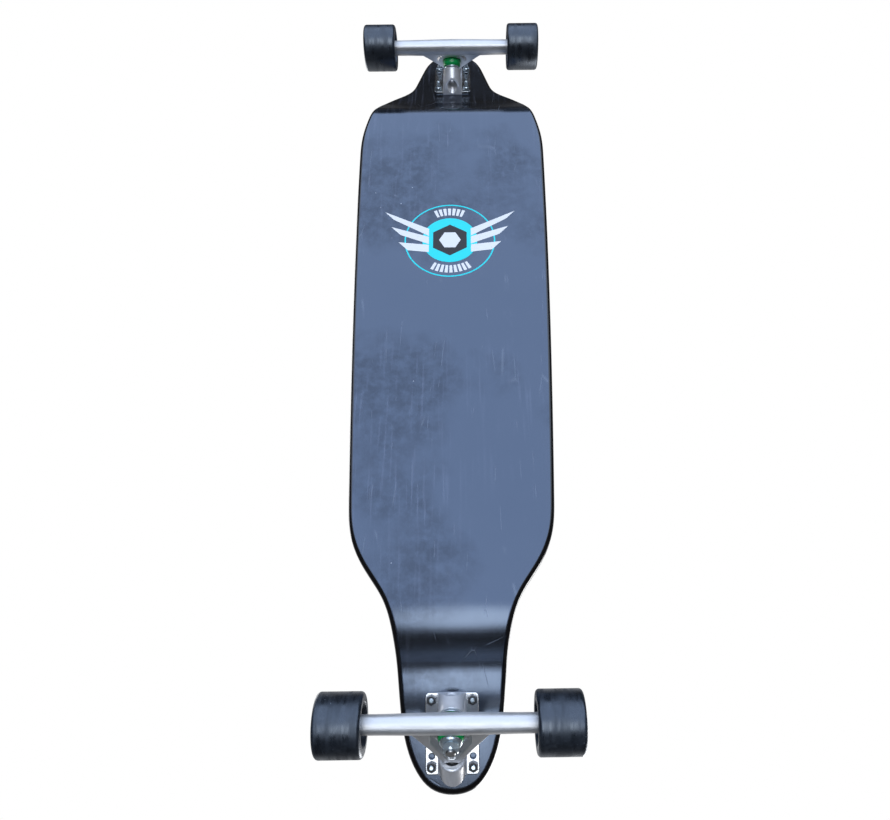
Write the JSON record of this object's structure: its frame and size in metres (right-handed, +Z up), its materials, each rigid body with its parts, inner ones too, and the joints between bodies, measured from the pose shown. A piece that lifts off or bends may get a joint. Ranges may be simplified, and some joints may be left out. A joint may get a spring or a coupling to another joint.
{
  "type": "longboard skateboard",
  "caption": "Dropped-platform longboard with upswept ends, reverse-kingpin trucks, green bushings and soft dark wheels.",
  "frame": {"origin": "on the ground midway along and across the board, wheels down", "axes": "+X the board's right, +Y towards the nose, +Z up"},
  "size_m": [0.2529, 1.0811, 0.1318],
  "materials": {
    "deck_paint": "glossy black paint over laminated wood, worn and scratched",
    "grip": "coarse black grip tape",
    "urethane": "dark worn urethane",
    "core_plastic": "moulded hard plastic",
    "bushing_urethane": "glossy green urethane",
    "pivot_cup": "black urethane",
    "cast_aluminium": "tumbled and polished casting",
    "axle_steel": "plain steel",
    "bearing_steel": "ground steel",
    "zinc_hardware": "bright zinc plate"
  },
  "bodies": {
    "deck": {"deck": "deck_paint", "grip_tape": "grip", "front_baseplate": "cast_aluminium", "front_pivot_cup": "pivot_cup", "front_kingpin": "axle_steel", "front_kingpin_nut": "zinc_hardware", "front_boardside_bushing": "bushing_urethane", "front_roadside_bushing": "bushing_urethane", "front_boardside_washer": "zinc_hardware", "front_roadside_washer": "zinc_hardware", "front_mounting_bolts": "zinc_hardware", "front_lock_nuts": "zinc_hardware", "rear_baseplate": "cast_aluminium", "rear_pivot_cup": "pivot_cup", "rear_kingpin": "axle_steel", "rear_kingpin_nut": "zinc_hardware", "rear_boardside_bushing": "bushing_urethane", "rear_roadside_bushing": "bushing_urethane", "rear_boardside_washer": "zinc_hardware", "rear_roadside_washer": "zinc_hardware", "rear_mounting_bolts": "zinc_hardware", "rear_lock_nuts": "zinc_hardware"},
    "front_hanger_body": {"front_hanger": "cast_aluminium", "front_axle": "axle_steel", "front_axle_nuts": "zinc_hardware", "front_speed_washers": "zinc_hardware", "front_spacers": "bearing_steel", "front_left_bearing_inners": "bearing_steel", "front_right_bearing_inners": "bearing_steel"},
    "front_left_wheel": {"front_left_tyre": "urethane", "front_left_core": "core_plastic", "front_left_bearing_outers": "bearing_steel", "front_left_bearing_balls": "bearing_steel"},
    "front_right_wheel": {"front_right_tyre": "urethane", "front_right_core": "core_plastic", "front_right_bearing_outers": "bearing_steel", "front_right_bearing_balls": "bearing_steel"},
    "rear_hanger_body": {"rear_hanger": "cast_aluminium", "rear_axle": "axle_steel", "rear_axle_nuts": "zinc_hardware", "rear_speed_washers": "zinc_hardware", "rear_spacers": "bearing_steel", "rear_left_bearing_inners": "bearing_steel", "rear_right_bearing_inners": "bearing_steel"},
    "rear_left_wheel": {"rear_left_tyre": "urethane", "rear_left_core": "core_plastic", "rear_left_bearing_outers": "bearing_steel", "rear_left_bearing_balls": "bearing_steel"},
    "rear_right_wheel": {"rear_right_tyre": "urethane", "rear_right_core": "core_plastic", "rear_right_bearing_outers": "bearing_steel", "rear_right_bearing_balls": "bearing_steel"}
  },
  "joints": [
    {"name": "front_steering", "type": "hinge", "parent": "deck", "child": "front_hanger_body", "pos_m": [0, 0.44506, 0.05032], "axis": [0, 0.5764, 0.8171], "range_deg": [-16, 16], "stiffness_Nm_per_rad": 40, "deforming": ["front_boardside_bushing", "front_roadside_bushing"]},
    {"name": "front_left_wheel_spin", "type": "hinge", "parent": "front_hanger_body", "child": "front_left_wheel", "pos_m": [-0.102, 0.4405, 0.03], "axis": [1, 0, 0], "continuous": true},
    {"name": "front_right_wheel_spin", "type": "hinge", "parent": "front_hanger_body", "child": "front_right_wheel", "pos_m": [0.102, 0.4405, 0.03], "axis": [1, 0, 0], "continuous": true},
    {"name": "rear_steering", "type": "hinge", "parent": "deck", "child": "rear_hanger_body", "pos_m": [0, -0.48406, 0.05032], "axis": [0, -0.5764, 0.8171], "range_deg": [-16, 16], "stiffness_Nm_per_rad": 40, "deforming": ["rear_boardside_bushing", "rear_roadside_bushing"]},
    {"name": "rear_left_wheel_spin", "type": "hinge", "parent": "rear_hanger_body", "child": "rear_left_wheel", "pos_m": [-0.102, -0.4795, 0.03], "axis": [1, 0, 0], "continuous": true},
    {"name": "rear_right_wheel_spin", "type": "hinge", "parent": "rear_hanger_body", "child": "rear_right_wheel", "pos_m": [0.102, -0.4795, 0.03], "axis": [1, 0, 0], "continuous": true}
  ]
}
